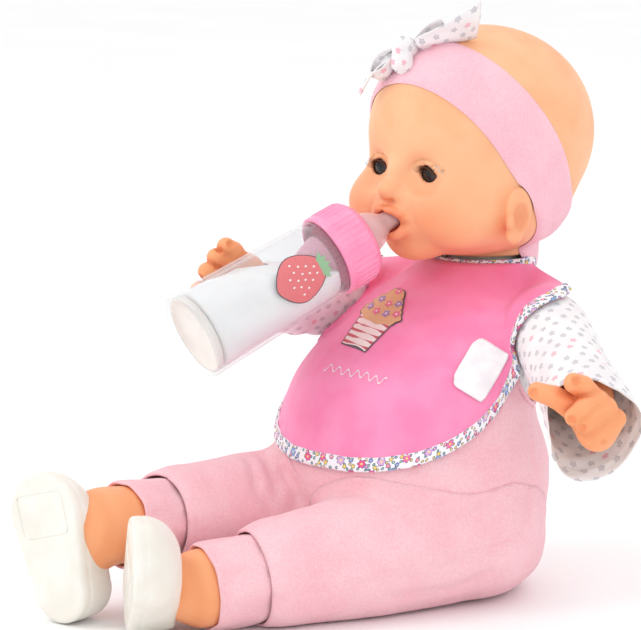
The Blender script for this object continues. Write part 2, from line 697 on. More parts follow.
def head_field(p):
    """The moulded head before it is turned, in the CAD frame."""
    q = mirrored(p)
    x, y, z = q.T
    d = skull(p)
    d = smin(d, egg(q, (0, -10, 182), (13.5, 8.5, 9)), 5)
    d = smin(d, egg(q, (0, -11.5, 205), (4.4, 6, 9)), 4)
    d = smin(d, egg(q, (0, -16.4, 198.2), (6.4, 7.0, 5.4)), 3)
    d = smin(d, egg(q, (5.4, -13.8, 196.0), (3.4, 4.8, 3.6)), 1.8)
    d = smax(d, -egg(q, NOSTRIL, (1.7, 2.8, 1.3)), 0.8)
    front = step(10, -6, y)
    d = d + front * 0.9 * np.exp(-((x / 1.7) ** 2) - ((z - 191.4) / 2.4) ** 2)
    crease = (x - 14.5 - 0.35 * (188 - z)) / 1.8
    d = d + front * 0.55 * np.exp(-crease ** 2) * step(178, 184, z) * step(196, 190, z)
    d = d + front * 0.8 * np.exp(-(((z - 172.8) / 1.9) ** 2) - (x / 9) ** 2)
    for centre, radii in LIPS:
        d = smin(d, egg(q, centre, radii), 2.2)
    d = smax(d, -egg(q, (0, -20.5, 182.4), (8.2, 8.5, 5.0)), 1.2)
    socket = egg(q, (EYE[0], -13, 207), (10.5, 5.2, 8.5))
    d = smax(d, -socket, 5)
    ball_reach = np.linalg.norm(q - np.array(EYE), axis=1)
    d = smin(d, ball_reach - 10.35, 2.2)
    opening = lens(q)
    facing = step(4, -2, y)
    fold = np.exp(-((opening - 2.5 - 0.016 * (x - EYE[0]) ** 2) / 0.55) ** 2) * step(205.5, 208.5, z)
    bag = np.exp(-((opening - 2.6) / 0.8) ** 2) * step(206, 203.5, z)
    d = d + facing * (0.85 * fold + 0.35 * bag)
    d = np.minimum(d, ball_reach - EYE_CUP - 0.3)     # the lids stay in front of the eye cup
    d = smax(d, -np.maximum(opening, y - EYE[1]), 0.5)
    d = np.maximum(d, -(ball_reach - 9.35))
    ear = smin(egg(q, (50.2, 22, 189), (4.4, 8.2, 12)), egg(q, (50.6, 18.6, 178.6), (3.6, 4.6, 5.2)), 2)
    ear = smax(ear, -egg(q, (54.4, 20.5, 187), (3.2, 4.6, 7.0)), 1.6)
    ear = smin(ear, egg(q, (52.2, 14.8, 184.5), (2.0, 2.4, 3.4)), 1.2)
    d = smin(d, ear, 1.5)
    reach = np.hypot(x, y - NECK_Y)
    d = smin(d, np.maximum(np.maximum(reach - 24, 161.5 - z), z - 190), 4)
    d = smax(d, 161.5 - z, 1.5)
    d = np.maximum(d, -np.maximum(reach - 18.4, z - 176))
    world = turned(p)
    t, away = along_axis(world, MOUTH, unit(BOTTLE_AXIS))
    d = smax(d, -np.maximum(away - 5.8, -22 - t), 0.6)
    return np.maximum(d, -np.maximum(away - 8.3, np.maximum(t + 6.2, -22 - t)))


def head_paint(p):
    q = mirrored(p)
    near = np.full(len(p), 9.0)
    for centre, radii in LIPS:
        near = smin(near, egg(q, centre, radii), 1.6)
    mouth = np.exp(-((q[:, 0] / 8) ** 2) - ((q[:, 2] - 182.4) / 5) ** 2) * step(-8, -13, q[:, 1])
    lips = np.clip(step(0.9, -0.9, near) * 0.62 + mouth, 0, 1)
    spots = [((27, -6, 188), 15, 1.0), ((0, -20, 196), 6, 0.45), ((0, -10, 171), 12, 0.55), ((50, 20, 184), 11, 0.8),
             ((11, -14, 187), 7, 0.5), ((24, -4, 168), 18, 0.45), ((17.6, -9, 214), 7, 0.15)]
    warm = 0.0
    for centre, size, amount in spots:
        warm = np.maximum(warm, amount * np.exp(-(np.linalg.norm(q - np.array(centre), axis=1) / size) ** 2))
    low = step(178, 164, p[:, 2]) * 0.2
    opening = lens(q)
    rim = step(0.9, -0.4, opening) * step(0, -4, q[:, 1]) * 0.5
    nostril = step(0.8, -0.2, egg(q, NOSTRIL, (1.5, 2.6, 1.2))) * 0.55
    ear_fold = step(0.8, -0.4, egg(q, (54.0, 20.5, 187), (3.2, 4.6, 7.0))) * 0.10
    parting = np.exp(-((q[:, 2] - 182.6) / 1.5) ** 2) * step(13.5, 9.5, q[:, 0]) * step(-9, -12, q[:, 1]) * 0.5
    shade = np.clip(rim + nostril + ear_fold + parting, 0, 1)
    return np.stack([lips, np.clip(warm + low, 0, 1), shade], 1)


def make_head():
    points, faces = net(head_field, (-58, -28, 158), (58, 108, 280), 1.15)
    paint = head_paint(points)
    piece("head_skin", turned(points), faces, SKIN, "head", paint=paint, slot="vinyl_skin",
          replaces=["head_shell"])
    for side, sign in (("left", 1), ("right", -1)):
        centre = np.array((sign * EYE[0], EYE[1], EYE[2]))
        rings, turns = 28, 56
        polar_angle = np.linspace(0.0005, math.pi - 0.0005, rings)[:, None]
        round_angle = round_angles(turns)[None, :]
        x, z = np.sin(polar_angle) * np.cos(round_angle), np.sin(polar_angle) * np.sin(round_angle)
        y = -np.cos(polar_angle) * np.ones((1, turns))
        points = centre + EYE_BALL * np.stack([x, y, z], -1)
        uv = (np.stack([x, z], -1) * EYE_BALL).reshape(-1, 2)
        uv[y.reshape(-1) > 0] *= 3
        piece("eye_ball_" + side, turned(points.reshape(-1, 3)), sheet_faces(rings, turns, True),
              EYE_GLASS, "eye_" + side, uv=uv, slot="eye_acrylic", replaces=["eyeball_" + side])
        lashes(side, sign)


def lashes(side, sign):
    """Short curved hairs along the upper lid, standing forward."""
    random = np.random.RandomState(5 if sign > 0 else 6)
    points, faces = [], []
    for k in range(23):
        along = -5.6 + 11.2 * k / 22
        height = -2.15 + math.sqrt(max(6.3 ** 2 - along ** 2, 0)) - 0.10 * along
        root = np.array((EYE[0] + along, EYE[1] - math.sqrt(9.3 ** 2 - along ** 2 - height ** 2) - 0.9,
                         EYE[2] + height - 0.7))
        lean = 0.30 * along / 5 + random.uniform(-0.07, 0.07)
        length = random.uniform(3.6, 4.6)
        start = len(points)
        for n in range(6):
            f = n / 5
            spot = root + np.array((lean * f * length, -0.95 * f * length, (0.55 * f * f - 0.12 * f) * length))
            size = 0.19 * (1 - 0.8 * f)
            for a in range(4):
                turn_by = a * math.pi / 2
                points.append(spot + np.array((math.cos(turn_by), 0.3 * math.sin(turn_by), math.sin(turn_by))) * size)
        for n in range(5):
            for a in range(4):
                b = (a + 1) % 4
                faces.append([start + n * 4 + a, start + n * 4 + b, start + n * 4 + 4 + b, start + n * 4 + 4 + a])
        faces.append([start + 3, start + 2, start + 1, start])
        faces.append([start + 20, start + 21, start + 22, start + 23])
    points = np.array(points)
    points[:, 0] *= sign
    if sign < 0:
        faces = [f[::-1] for f in faces]
    piece("lashes_" + side, turned(points), faces, LASH, "head")


# ---- headband and bow ------------------------------------------------------------------------------------
NAPE = unit((0, 0.85, 0.53))


def out_to(field, origin, ways):
    """Furthest point of a field's solid along each way from a point, by halving."""
    low, high = np.zeros(len(ways)), np.full(len(ways), 90.0)
    for _ in range(26):
        middle = (low + high) / 2
        inside = field(origin + ways * middle[:, None]) < 0
        low, high = np.where(inside, middle, low), np.where(inside, high, middle)
    return origin + ways * low[:, None]


def skull_and_ears(p):
    q = mirrored(p)
    d = smin(skull(p), egg(q, (50.2, 22, 189), (4.4, 8.2, 12)), 3)
    reach = np.hypot(q[:, 0], q[:, 1] - NECK_Y)
    return smin(d, np.maximum(np.maximum(reach - 24, 155 - q[:, 2]), q[:, 2] - 190), 4)


def make_headband():
    across_count, round_count = 34, 260
    side, upward = np.array((1.0, 0, 0)), np.cross((1.0, 0, 0), NAPE)
    if upward[2] < 0:
        upward = -upward
    angle = round_angles(round_count)
    ways = np.cos(angle)[:, None] * side + np.sin(angle)[:, None] * upward
    rows = []
    f = np.linspace(-1, 1, across_count)
    for share in f:
        centre = np.array((0, 44, 222.0))
        centre = centre + NAPE * (142 + share * 15.2 - centre @ NAPE)
        rows.append(out_to(skull_and_ears, centre, ways))
    rows = np.array(rows)
    normal = gradient(skull_and_ears, rows.reshape(-1, 3))
    normal = rows_unit(normal).reshape(rows.shape)
    edge = 1 - np.abs(f) ** 8
    soft = (0.45 * np.sin(3.4 * f[:, None] + 0.7 * np.sin(2 * angle)[None, :] + 1.0)
            + 0.35 * np.cos(6.5 * f[:, None] + 1.4 * np.sin(angle + 0.6)[None, :]))
    lift = 0.35 + 1.75 * edge[:, None] + soft * edge[:, None] * 0.55
    rows = rows + normal * lift[..., None]
    arc = lengths(rows[across_count // 2])
    uv = np.stack(np.meshgrid(f * 15, arc, indexing="ij"), -1).reshape(-1, 2)
    points = turned(rows.reshape(-1, 3))
    band = piece("headband_cloth", points, sheet_faces(across_count, round_count, True, True), BAND_FLEECE, "head",
                 uv=uv, slot="headband_fleece", replaces=["headband"])
    return rows


def ribbon(name, centre_line, widths, sides, crown, replaces=()):
    """Cloth strip along a line: widths and sideways directions given at each point of the line."""
    line, widths = np.array(centre_line, float), np.array(widths, float)
    sides = np.array([unit(s) for s in sides])
    n = 24
    t = np.linspace(0, len(line) - 1, n)
    k = np.arange(len(line))

    def fine(values):
        made = table(np.c_[k, values], 0.05)
        return np.stack(read(made, t), 1)

    line, widths, sides = fine(line), fine(widths[:, None])[:, 0], fine(sides)
    across = np.linspace(-1, 1, 15)
    tangent = np.gradient(line, axis=0)
    normal = np.cross(tangent, sides)
    normal = rows_unit(normal)
    waviness = crown * (1 - across[None, :] ** 2) + 0.35 * np.sin(across[None, :] * 5 + t[:, None] * 2.2)
    points = (line[:, None] + sides[:, None] * (widths[:, None] * across[None, :])[..., None]
              + normal[:, None] * waviness[..., None])
    length = lengths(line)
    uv = uv_of(length[:, None], widths[:, None] * across[None, :])
    made = piece(name, points.reshape(-1, 3), sheet_faces(n, 15), STARS, "head", uv=uv, slot="star_cotton",
                 replaces=replaces)
    thicken(made, COTTON_THICK, 0.0)
    max(0.0102, 2 * float(np.mean(widths)) * MM)


def make_bow():
    ribbon("bow_tail_left", [(-6, 3, 268), (3, 9, 272), (12, 14.5, 276), (19, 20, 281)],
           [4.5, 7.5, 9.5, 11.5], [(0.25, -0.75, 0.6), (0.3, -0.72, 0.62), (0.35, -0.6, 0.72), (0.45, -0.35, 0.82)],
           1.4, ["headband_bow"])
    ribbon("bow_loop_left", [(-9, 4, 267), (-4, 9, 274), (2, 13, 278), (3, 15.5, 274), (-2, 13, 269)],
           [3.5, 5.2, 5.6, 5.2, 4.0], [(0.1, -0.9, 0.35), (0.15, -0.85, 0.5), (0.2, -0.8, 0.5), (0.2, -0.8, 0.5),
                                       (0.2, -0.8, 0.5)], 0.8)
    ribbon("bow_loop_right", [(-14, 1, 265), (-19, -3, 262), (-23, -6, 257), (-24, -8, 252), (-19, -7, 254),
                              (-16, -2, 261)],
           [4.2, 5.8, 6.0, 5.2, 4.6, 3.6], [(0.1, -0.85, 0.45)] * 6, 0.9)
    ribbon("bow_tail_right", [(-15, -1, 264), (-21, -5.5, 259), (-27, -9, 251), (-31, -11, 243)],
           [4.0, 5.6, 5.2, 1.2], [(0.2, -0.8, -0.3), (0.3, -0.8, -0.4), (0.4, -0.75, -0.35), (0.4, -0.75, -0.3)],
           1.0)
    points, faces = net(
        lambda p: smin(egg(p, (-12.5, 0.6, 265.5), (5.6, 7.2, 6.6)), egg(p, (-10.5, -3.0, 259.0), (5.6, 4.8, 5.6)), 3)
        + 0.35 * waves(p, 7, 3, stretch=(1, 1, 2.5)), (-22, -12, 250), (-3, 10, 276), 0.7)
    uv = np.stack([points[:, 0] * 0.8 + points[:, 1], points[:, 2]], 1)
    knot = piece("bow_knot", points, faces, STARS, "head", uv=uv, slot="star_cotton")


# ---- romper ----------------------------------------------------------------------------------------------
# Dents in the cloth: points along the fold, depth, half width. The last one is the side seam.
FOLDS = [
    ([(-48.3, -74.3, 68.1), (-27.6, -87.5, 56.7), (-21.8, -83.3, 46.3)], 1.9, 3.4),
    ([(-45.2, -67.1, 67.4), (-31.3, -73.6, 61.1), (-24.3, -77.8, 53.4)], 1.7, 2.8),
    ([(-29.4, -67.6, 62.3), (-20.5, -68.6, 55.8), (-18.7, -68.9, 48.6)], 1.6, 2.6),
    ([(16.8, -73.0, 58.8), (29.6, -66.8, 62.3), (42.7, -58.2, 61.9), (47.1, -55.1, 59.6)], 2.0, 3.2),
    ([(31.9, -69.2, 58.3), (40.6, -67.8, 54.1)], 1.3, 2.8),
    ([(49.7, -53.2, 57.4), (60.8, -42.1, 48.9), (65.0, -35.9, 46.3)], 1.6, 3.0),
    ([(65.2, -31.5, 53.1), (68.6, -22.8, 54.3)], 1.2, 2.6),
    ([(62.5, -48.5, 26.6), (67.5, -34.6, 28.0), (73.3, -21.4, 30.2)], 1.4, 2.8),
    ([(50.0, -76.3, 13.7), (54.4, -59.2, 12.8), (59.0, -44.3, 12.4), (63.7, -33.7, 15.3), (69.1, -24.6, 19.4)],
     1.5, 2.8),
    ([(24.0, -134.0, 17.2), (30.8, -124.3, 18.7), (38.8, -106.3, 20.0), (45.9, -92.1, 21.9), (52.9, -76.4, 23.5),
      (58.4, -60.2, 25.5), (64.6, -43.1, 28.2), (69.8, -29.2, 31.7), (74.8, -15.4, 35.9), (74.2, -8.0, 41.9),
      (72.7, -1.9, 48.4), (69.9, 3.3, 57.8), (67.5, 7.0, 67.8), (64.3, 9.5, 77.9), (60.5, 13.0, 87.4)], 1.0, 1.8),
]
FILLET = 9.0


def line_distance(p, line):
    line = np.array(line, float)
    best = np.full(len(p), 1e9)
    for a, b in zip(line[:-1], line[1:]):
        t = np.clip((p - a) @ (b - a) / ((b - a) @ (b - a)), 0, 1)
        best = np.minimum(best, np.linalg.norm(p - a - t[:, None] * (b - a), axis=1))
    return best


def folds(p):
    total = 0.55 * waves(p, 46, 11, stretch=(1, 1, 1.6)) + 0.22 * waves(p, 17, 12)
    for line, depth, width in FOLDS:
        total = total + depth * np.exp(-(line_distance(p, line) / width) ** 2)
    return total


def romper_field(p):
    return smax(torso_field(p, -0.2) + folds(p), 0.35 - p[:, 2], 2.5)


def trouser_field(side):
    def field(p):
        d = smin(torso_field(p, 0.35), leg_field(p, side), FILLET)
        return smax(d + folds(p), 0.3 - p[:, 2], 3)
    return field


def armhole(p):
    q = mirrored(p)
    return egg(q, (64, 26, 130), (30, 25, 38))


def hatch_cut(p):
    half_width, middle, half_height = HATCH
    box = np.maximum(np.abs(p[:, 0]) - half_width, np.abs(p[:, 2] - middle) - half_height)
    return np.maximum(box, 20 - p[:, 1])


def tube_on(name, line, radius, field, material, body, slot, closed=False):
    """Thin cord, seam or hem lying on a surface along a line of points."""
    line = np.array(line, float)
    if closed:
        line = np.r_[line, line[:1]]
    length = lengths(line)
    count = max(int(length[-1] / 1.6), 8)
    at = np.linspace(0, length[-1], count + 1)
    path = np.stack([np.interp(at, length, line[:, k]) for k in range(3)], 1)
    if closed:
        path = path[:-1]
    if field:
        path = settle(field, path, 4, level=radius * 0.2)
    for _ in range(3):
        middle = (np.roll(path, 1, 0) + np.roll(path, -1, 0)) / 2
        if not closed:
            middle[0], middle[-1] = path[0], path[-1]
        path = (path + middle) / 2
    tangent = (np.roll(path, -1, 0) - np.roll(path, 1, 0)) if closed else np.gradient(path, axis=0)
    tangent = rows_unit(tangent)
    up = gradient(field, path) if field else np.tile((0.3, 0.2, 0.9), (len(path), 1))
    side = np.cross(tangent, up)
    side = rows_unit(side)
    up = np.cross(side, tangent)
    angle = np.arange(8) * math.pi / 4
    points = (path[:, None] + radius * (np.cos(angle)[None, :, None] * side[:, None]
                                        + np.sin(angle)[None, :, None] * up[:, None]))
    rows = len(path)
    faces = sheet_faces(rows, 8, True)
    if closed:
        j = np.arange(8)
        last = (rows - 1) * 8
        faces = np.r_[faces, np.stack([last + j, last + (j + 1) % 8, (j + 1) % 8, j], 1)]
    piece(name, points.reshape(-1, 3), faces, material, body, slot=slot)


def rectangle(half, low, high, count):
    """Points along the four sides of a rectangle, count to a side."""
    corners = [(-half, low), (half, low), (half, high), (-half, high)]
    return [(x1 + (x2 - x1) * k / count, y1 + (y2 - y1) * k / count)
            for (x1, y1), (x2, y2) in zip(corners, corners[1:] + corners[:1]) for k in range(count)]


def make_romper():
    points, faces = net(romper_field, (-76, -78, -2), (76, 66, 134), 2.1)
    points, faces = trim(romper_field, points, faces, lambda p: 127.5 - p[:, 2])
    points, faces = trim(romper_field, points, faces, armhole)
    points, faces = trim(romper_field, points, faces, hatch_cut)
    body = piece("romper_cloth", points, faces, FLEECE, "torso", slot="romper_fleece", replaces=["romper_body"])
    thicken(body, FLEECE_THICK)
    outline = [(x, 52, z) for x, z in rectangle(HATCH[0], HATCH[1] - HATCH[2], HATCH[1] + HATCH[2], 24)]
    tube_on("hatch_hem", outline, 1.3, romper_field, FLEECE, "torso", "romper_fleece", closed=True)
    for sign, side in ((1, "left"), (-1, "right")):
        ring = np.array([(sign * 58, 26 + 25 * math.cos(a), 130 + 38 * math.sin(a)) for a in round_angles(80)])
        for _ in range(12):
            ring = settle(armhole, settle(romper_field, ring, 1), 1)
        ring = ring[ring[:, 2] < 127.0]
        start = int(np.argmax(np.linalg.norm(np.diff(np.r_[ring, ring[:1]], axis=0), axis=1))) + 1
        ring = np.roll(ring, -start, axis=0)
        tube_on("armhole_hem_" + side, ring, 1.1, romper_field, FLEECE, "torso", "romper_fleece")


def leg_local(side, t, angle, radius):
    across, up, axis = basis(leg_axis(side))
    return (np.array(HIP[side]) + t[..., None] * axis + (radius * np.cos(angle))[..., None] * across
            + (radius * np.sin(angle))[..., None] * up)


def make_trousers(side):
    field = trouser_field(side)
    end = CUFF[side][0] + 3.5
    low = (-40, -150, -2) if side == "left" else (-86, -150, -2)
    high = (86, 40, 90) if side == "left" else (20, 40, 90)
    points, faces = net(field, low, high, 1.9)

    def whose(p):
        near_leg = FILLET * 0.93 - (leg_field(p, side) - torso_field(p, 0.35))
        other = "right" if side == "left" else "left"
        return np.minimum(near_leg, leg_field(p, other) - leg_field(p, side) + 1.5)

    points, faces = trim(field, points, faces, whose)
    points, faces = trim(field, points, faces, lambda p: end - along_axis(p, HIP[side], leg_axis(side))[0])
    trousers = piece("trouser_cloth_" + side, points, faces, FLEECE, slot="romper_fleece",
                     replaces=["trouser_leg_" + side])
    thicken(trousers, 1.0)
    hip, axis = np.array(HIP[side]), leg_axis(side)
    start, finish = (hip - axis * 26) * MM, (hip + axis * 22) * MM
    tuple(start)
    tuple(finish)
    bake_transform(trousers)

    cuff_from, cuff_to = CUFF[side]
    profile = [(19.6, cuff_from - 1), (21.0, cuff_from), (21.5, cuff_from + 4), (21.7, cuff_from + 14),
               (21.5, cuff_to - 5), (21.3, cuff_to - 2.2), (20.9, cuff_to - 0.6), (20.2, cuff_to),
               (19.6, cuff_to - 0.7),
               (19.3, cuff_to - 3), (19.2, cuff_to - 14)]
    made = table([(k, r, t) for k, (r, t) in enumerate(profile)], 0.2)
    k = np.linspace(0, len(profile) - 1, 60)
    radius, at = read(made, k)
    angle = round_angles(120)
    ripple = (0.35 * np.sin(5 * angle[None, :] + 0.16 * at[:, None]) + 0.3 * np.sin(9 * angle[None, :] + 2))
    points = leg_local(side, np.repeat(at[:, None], 120, 1), angle[None, :], radius[:, None] + ripple)
    points[..., 2] = np.maximum(points[..., 2], 0.35)
    uv = uv_of(angle[None, :] * 21, at[:, None])
    cuff = piece("trouser_cuff_cloth_" + side, points.reshape(-1, 3), sheet_faces(60, 120, True), FLEECE,
                 "leg_" + side, uv=uv, slot="romper_fleece", replaces=["trouser_cuff_" + side])


# ---- shirt -----------------------------------------------------------------------------------------------
def make_shirt():
    heights = np.linspace(84, 153.5, 40)
    angle = round_angles(150)
    centre, half_width, half_depth = read(TORSO_TABLE, heights)
    tuck = np.where(heights < 128, 2.0, 0.3)
    x = (half_width - tuck)[:, None] * np.sin(angle)
    y = centre[:, None] - (half_depth - tuck)[:, None] * np.cos(angle)
    points = np.stack([x, y, np.repeat(heights[:, None], 150, 1)], -1)
    uv = uv_of(angle[None, :] * 55, heights[:, None])
    points = points.reshape(-1, 3)
    open_back = hatch_cut(points) < 1.5      # the shirt is cut away with the hatch opening
    faces = sheet_faces(40, 150, True)
    joined, faces = compact(np.c_[points, uv], faces[~open_back[faces].any(1)])
    shirt = piece("shirt_cloth", joined[:, :3], faces, STARS, "torso", uv=joined[:, 3:], slot="star_cotton",
                  replaces=["shirt_body"])


SLEEVE = {
    "left": dict(radius=[(-19, 3), (-17, 8.5), (-12, 14.6), (-4, 18.4), (6, 19.2), (30, 18.8), (55, 19.8), (72, 21.2),
                         (88, 21.8)], end=82, tilt=4.5, droop=8.0, body="arm_left", seed=21),
    "right": dict(radius=[(-19, 3), (-17, 8.5), (-12, 14.6), (-4, 18.2), (6, 18.4), (30, 17.6), (55, 17.0),
                          (76, 16.6), (90, 16.6)], end=80, tilt=1.5, droop=3.0, body="arm_right", seed=22),
}


def make_sleeve(side):
    given = SLEEVE[side]
    across, up, axis = basis(ARM_TOWARDS[side])
    rows, columns = 90, 132
    f = np.linspace(0, 1, rows)[:, None]
    angle = round_angles(columns)[None, :]
    thumb = np.array(HANDS[side]["digits"][4][1][:3]) - SHOULDER[side]
    thumb_angle = math.atan2(thumb @ up, thumb @ across)
    short = 9.0 if side == "left" else 0.0
    end = given["end"] - given["tilt"] * np.sin(angle) - short * np.clip(np.cos(angle - thumb_angle), 0, 1) ** 2
    at = -19 + (end + 19) * f
    radius = read(table(given["radius"], 0.5), at)[0]
    reach = step(8, given["end"], at)
    grid = np.stack([radius * np.cos(angle), radius * np.sin(angle), at], -1).reshape(-1, 3)
    wrinkle = (waves(grid, 30, given["seed"], stretch=(1, 1, 0.55)) * 0.9
               + waves(grid, 13, given["seed"] + 1, stretch=(1, 1, 0.6)) * 0.4).reshape(at.shape)
    flutter = 0.9 * np.sin(3 * angle + 1.0) + 0.7 * np.sin(5 * angle + 0.6)
    radius = radius + wrinkle * (0.35 + 0.75 * reach) * step(-8, 6, at) + flutter * reach ** 2
    hem = np.exp(-(((end - at) - 6.0) / 0.5) ** 2) * 0.4 - 0.25 * step(6.0, 5.2, end - at)
    radius = radius - hem
    droop = given["droop"] * (np.clip(at, 0, 100) / given["end"]) ** 2
    low = np.clip(-np.sin(angle), 0, 1) * reach * given["droop"] * 0.25
    points = (np.array(SHOULDER[side], float) + at[..., None] * axis + (radius * np.cos(angle))[..., None] * across
              + ((radius + low) * np.sin(angle))[..., None] * up)
    points[..., 2] -= droop
    uv = uv_of(angle * 19, at)
    sleeve = piece("sleeve_cloth_" + side, points.reshape(-1, 3), sheet_faces(rows, columns, True, True), STARS,
                   given["body"], uv=uv, slot="star_cotton", replaces=["sleeve_" + side])
    thicken(sleeve, COTTON_THICK)


# ---- hands, legs and shoes -------------------------------------------------------------------------------
HANDS = {
    "left": dict(
        palm=[((125, -13.5, 99), (11.5, 9.5, 13.0)), ((119.5, -17, 103.5), (7.5, 6.5, 7.5))],
        digits=[
            [(124.2, -16.2, 112.6, 5.6), (122.5, -20.8, 117.8, 5.3), (120.5, -25, 120, 4.9)],
            [(127.8, -16, 111.1, 5.4), (126.6, -24, 108.8, 5), (122.8, -27.4, 104.4, 4.5)],
            [(130.2, -13, 107.7, 5.3), (129.8, -21.2, 105, 4.8), (126.1, -24.3, 101.1, 4.4)],
            [(132, -7.7, 101.9, 5), (133.2, -13.8, 98.6, 4.6), (130.7, -16.3, 95.3, 4.2)],
            [(115.8, -20, 107.2, 6.6), (109.1, -25.3, 111.8, 5.2), (102.1, -30.1, 114.2, 4.5)],
        ]),
    "right": dict(
        palm=[((-60.7, -63.0, 155.1), (10, 12, 11)), ((-62.3, -57.3, 149.7), (9, 10, 9))],
        digits=[
            [(-60.8, -65.6, 161.9, 5.6), (-59, -72.3, 167.8, 5.2), (-59, -77.1, 171.1, 4.5)],
            [(-60.9, -68.3, 157.2, 5.6), (-60.6, -76.2, 163.7, 5.2), (-60.4, -82.5, 166.1, 4.7)],
            [(-62.4, -72.5, 151.6, 5.4), (-62.1, -80.9, 156.6, 5), (-61.3, -87.8, 159.7, 4.6)],
            [(-63.4, -76.3, 145.4, 5.2), (-63.3, -85.3, 149, 4.8), (-63.1, -91.6, 151.1, 4.3)],
            [(-60.4, -67.5, 147.2, 5.4), (-58.2, -73.2, 138.2, 4.8), (-53.4, -75.9, 131.2, 4.4)],
        ]),
}


def hand_field(side):
    origin, axis = SHOULDER[side], unit(ARM_TOWARDS[side])

    def field(p):
        at = np.array(origin, float)
        d = limb(p, at + axis * 48, at + axis * 68, 12.6, 12.6)
        d = smin(d, limb(p, at + axis * 68, at + axis * 84, 12.4, 9.6), 3)
        d = smin(d, limb(p, at + axis * 37, at + axis * 46, 8.8, 8.8), 1.5)
        for centre, radii in HANDS[side]["palm"]:
            d = smin(d, egg(p, centre, radii), 3.5)
        fingers = None
        for joints in HANDS[side]["digits"]:
            digit = None
            for (a, b) in zip(joints[:-1], joints[1:]):
                bone = limb(p, a[:3], b[:3], a[3], b[3])
                digit = bone if digit is None else smin(digit, bone, 1.0)
            tip, before = np.array(joints[-1][:3]), np.array(joints[-2][:3])
            way = unit(tip - before)
            up = unit(np.cross(np.cross(way, at + axis * 70 - tip), way))
            nail = egg(p, tip + way * 1.6 - up * (joints[-1][3] + 0.3), (2.4, 2.4, 2.4))
            digit = smax(digit, -nail, 0.5)
            fingers = digit if fingers is None else smin(fingers, digit, 1.1)
        return smin(d, fingers, 2.6)
    return field


def crease_paint(field, points, reach=2.2):
    """Warm colour where two parts of the moulding meet."""
    n = rows_unit(gradient(field, points))
    hollow = np.clip((reach - field(points + n * reach)) / reach, 0, 1)
    wide = np.clip((7 - field(points + n * 7)) / 7, 0, 1)
    return np.stack([np.zeros(len(points)), np.clip(0.95 * wide + 0.25, 0, 1), np.clip(hollow * 0.75, 0, 0.5)], 1)


def make_hand(side):
    field = hand_field(side)
    low, high = ((84, -40, 78), (142, 10, 130)) if side == "left" else ((-86, -112, 118), (-46, -6, 180))
    body = "arm_" + side
    points, faces = net(field, low, high, 0.85)
    axis = unit(ARM_TOWARDS[side])
    points, faces = trim(field, points, faces, lambda p: along_axis(p, SHOULDER[side], axis)[0] - 37.6)
    piece("forearm_skin_" + side, points, faces, LIMB_SKIN, body, paint=crease_paint(field, points),
          slot="vinyl_skin", replaces=["forearm_" + side])


def shoe_axes(side):
    faces, lean = math.radians(SHOE_FACES[side]), math.radians(SHOE_LEAN[side])
    out = np.array((math.sin(faces), -math.cos(faces), 0))
    sideways = np.array((math.cos(faces), math.sin(faces), 0))
    toe = np.array((0, 0, 1)) * math.cos(lean) + sideways * math.sin(lean)
    inward = -out
    return np.cross(toe, inward), toe, inward


def into_shoe(p, side):
    return (p - np.array(HEEL_AT[side])) @ np.array(shoe_axes(side)).T


def out_of_shoe(q, side):
    return np.asarray(q) @ np.array(shoe_axes(side)) + np.array(HEEL_AT[side])


SHOE_TABLE = table([(-1, -0.8, -1.0, 0), (0, -0.4, -0.6, 0), (4, 0, 0, 0), (11, 0, -0.4, 1), (18, -0.4, -3, 4),
                    (24, -1, -8, 9)], 0.5)


def shoe_solid(q):
    at_heel, at_toe, back = read(SHOE_TABLE, q[:, 2])
    toe = 36 - back
    f = np.clip(q[:, 1] / toe, 0, 1)
    radius = (16 + at_heel) * (1 - f) + (21.5 + at_toe) * f
    d = np.hypot(q[:, 0], q[:, 1] - toe * f) - radius
    d = smax(d, q[:, 2] - 24, 4.5)
    d = smax(d, -q[:, 2], 2.2)
    welt = np.exp(-((q[:, 2] - 5.6) / 0.7) ** 2) * 0.45
    cap = np.exp(-((q[:, 1] - 27 + 0.02 * q[:, 0] ** 2) / 0.9) ** 2) * step(12, 17, q[:, 2]) * 0.35
    return d + welt + cap


def shoe_field(side):
    def field(p):
        q = into_shoe(p, side)
        d = shoe_solid(q)
        mouth = egg(q, (0, 2, 24), (14.2, 17.5, 12.5))
        d = smax(d, -mouth, 2.0)
        lip = mouth + 0.2
        d = d - 0.5 * np.exp(-lip ** 2) * step(12, 18, q[:, 2])
        return smax(d, 0.25 - p[:, 2], 0.6)
    return field


def shin_field(side):
    hip, axis = np.array(HIP[side], float), leg_axis(side)
    _, toe, inward = shoe_axes(side)
    heel = np.array(HEEL_AT[side], float)
    above_heel = heel + toe * 9 + inward * 14
    end = 153 if side == "left" else 160
    ankle = hip + axis * (end - 3)
    profile = table([(70, 13), (96, 13.4), (104, 18.2), (120, 19.0), (140, 18.7), (end - 6, 18.4), (end + 4, 16.4),
                     (end + 20, 15)])

    def field(p):
        t, away = along_axis(p, hip, axis)
        shin = smax(smax(away - read(profile, t)[0], t - end - 2, 5), 80.4 - t, 0.5)
        d = smin(shin, egg(p, ankle, (17.4,) * 3), 4)
        d = smin(d, limb(p, ankle, above_heel, 14.2, 13.4), 5)
        return smax(d, 0.4 - p[:, 2], 2)
    return field


